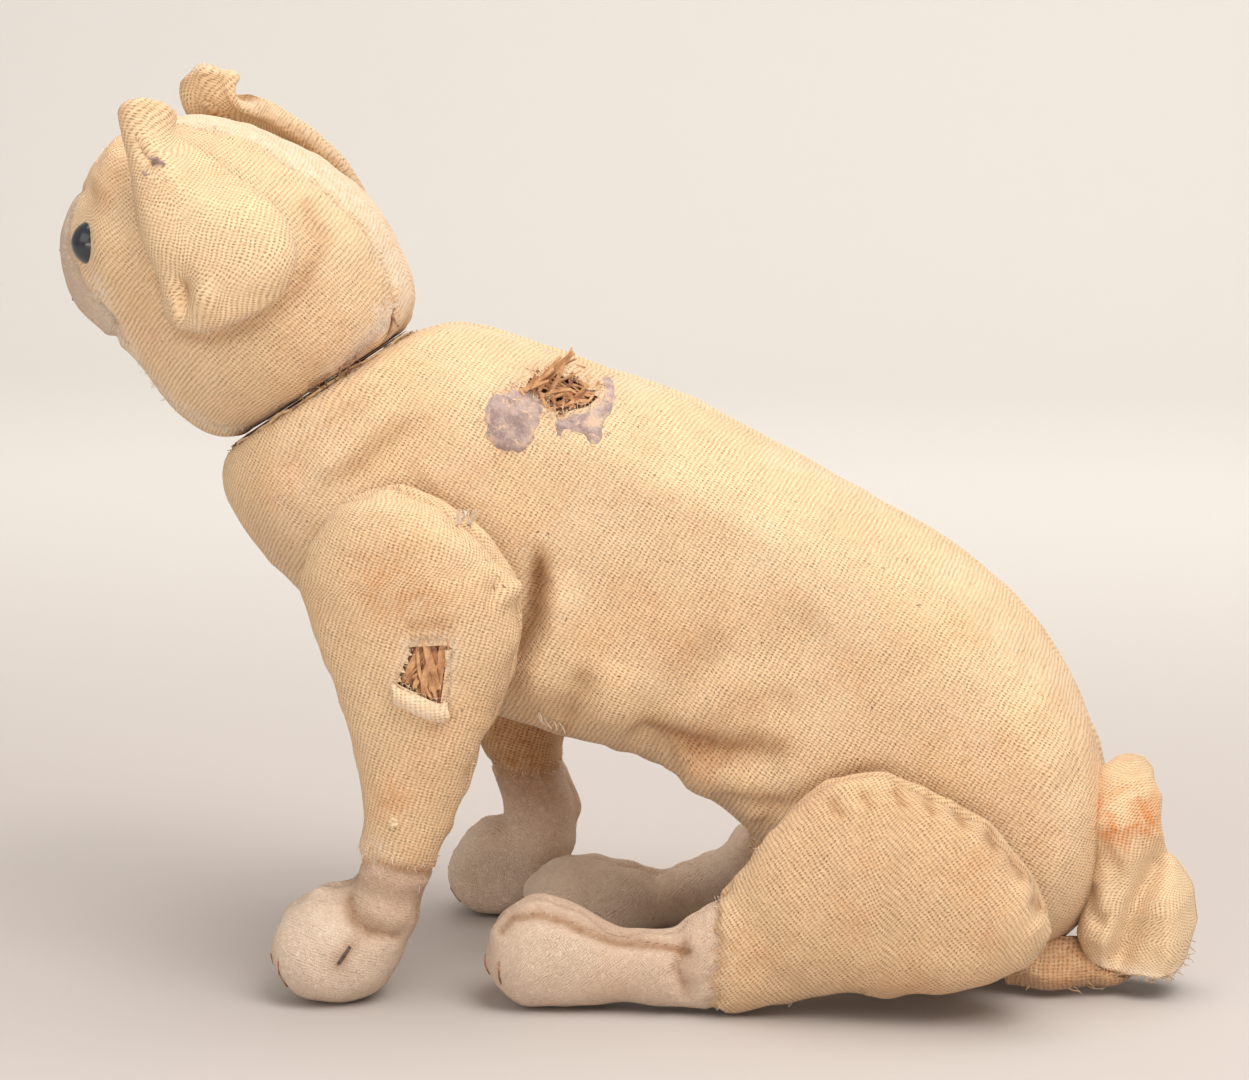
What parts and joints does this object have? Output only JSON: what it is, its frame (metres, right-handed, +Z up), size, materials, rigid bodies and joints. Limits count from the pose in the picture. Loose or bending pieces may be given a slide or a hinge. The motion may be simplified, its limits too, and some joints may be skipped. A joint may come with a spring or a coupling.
{
  "type": "jointed plush cat",
  "caption": "Sitting jointed toy cat with worn woven covers over wood wool, felt feet and face, glass eyes, and a head and legs that turn on disc joints.",
  "frame": {"origin": "on the ground under the middle of the sitting cat's bounding box", "axes": "the cat faces -X, its left side is -Y, +Z is up"},
  "size_m": [0.229, 0.0966, 0.1782],
  "materials": {
    "woven_cover": "matte",
    "felt": "matte",
    "wood_wool": "matte",
    "wool_patch": "matte",
    "thread": "matte",
    "card": "matte",
    "steel": "satin",
    "eye_glass": "gloss"
  },
  "bodies": {
    "body": {"body_left_panel": "woven_cover", "body_right_panel": "woven_cover", "body_wood_wool": "wood_wool", "back_wool_patch": "wool_patch", "back_wood_wool_tuft": "wood_wool", "neck_body_disc": "card", "shoulder_body_discs": "card", "hip_body_discs": "card", "body_washers": "steel"},
    "head": {"head_left_panel": "woven_cover", "head_right_panel": "woven_cover", "head_gusset": "woven_cover", "muzzle_felt": "felt", "head_wood_wool": "wood_wool", "left_ear": "woven_cover", "right_ear": "woven_cover", "left_eye": "eye_glass", "right_eye": "eye_glass", "eye_shanks": "steel", "nose_stitching": "thread", "mouth_stitching": "thread", "head_disc": "card", "head_washer": "steel", "neck_cotter_pin": "steel"},
    "tail": {"tail_cover": "woven_cover"},
    "left_front_leg": {"left_front_leg_outer_panel": "woven_cover", "left_front_leg_inner_panel": "woven_cover", "left_front_leg_foot_felt": "felt", "left_front_leg_wood_wool": "wood_wool", "left_front_leg_disc": "card", "left_front_leg_washer": "steel", "left_front_leg_cotter_pin": "steel", "left_front_leg_claw_stitches": "thread"},
    "right_front_leg": {"right_front_leg_outer_panel": "woven_cover", "right_front_leg_inner_panel": "woven_cover", "right_front_leg_foot_felt": "felt", "right_front_leg_wood_wool": "wood_wool", "right_front_leg_disc": "card", "right_front_leg_washer": "steel", "right_front_leg_cotter_pin": "steel", "right_front_leg_claw_stitches": "thread"},
    "left_hind_leg": {"left_hind_leg_outer_panel": "woven_cover", "left_hind_leg_inner_panel": "woven_cover", "left_hind_leg_foot_felt": "felt", "left_hind_leg_wood_wool": "wood_wool", "left_hind_leg_disc": "card", "left_hind_leg_washer": "steel", "left_hind_leg_cotter_pin": "steel", "left_hind_leg_claw_stitches": "thread"},
    "right_hind_leg": {"right_hind_leg_outer_panel": "woven_cover", "right_hind_leg_inner_panel": "woven_cover", "right_hind_leg_foot_felt": "felt", "right_hind_leg_wood_wool": "wood_wool", "right_hind_leg_disc": "card", "right_hind_leg_washer": "steel", "right_hind_leg_cotter_pin": "steel", "right_hind_leg_claw_stitches": "thread"}
  },
  "joints": [
    {"name": "neck_swivel", "type": "hinge", "parent": "body", "child": "head", "pos_m": [-0.0614, 0, 0.1155], "axis": [-0.5519, 0, 0.8339], "continuous": true},
    {"name": "left_shoulder", "type": "hinge", "parent": "body", "child": "left_front_leg", "pos_m": [-0.036, -0.0245, 0.083], "axis": [0, 1, 0], "range_deg": [-8, 55]},
    {"name": "right_shoulder", "type": "hinge", "parent": "body", "child": "right_front_leg", "pos_m": [-0.036, 0.0245, 0.083], "axis": [0, 1, 0], "range_deg": [-6, 60]},
    {"name": "left_hip", "type": "hinge", "parent": "body", "child": "left_hind_leg", "pos_m": [0.056, -0.0245, 0.031], "axis": [0, 1, 0], "range_deg": [-85, 8]},
    {"name": "right_hip", "type": "hinge", "parent": "body", "child": "right_hind_leg", "pos_m": [0.056, 0.0245, 0.031], "axis": [0, 1, 0], "range_deg": [-85, 8]},
    {"name": "tail_seam", "type": "hinge", "parent": "body", "child": "tail", "pos_m": [0.0985, -0.003, 0.0455], "axis": [0, -1, 0], "range_deg": [0, 70]}
  ]
}
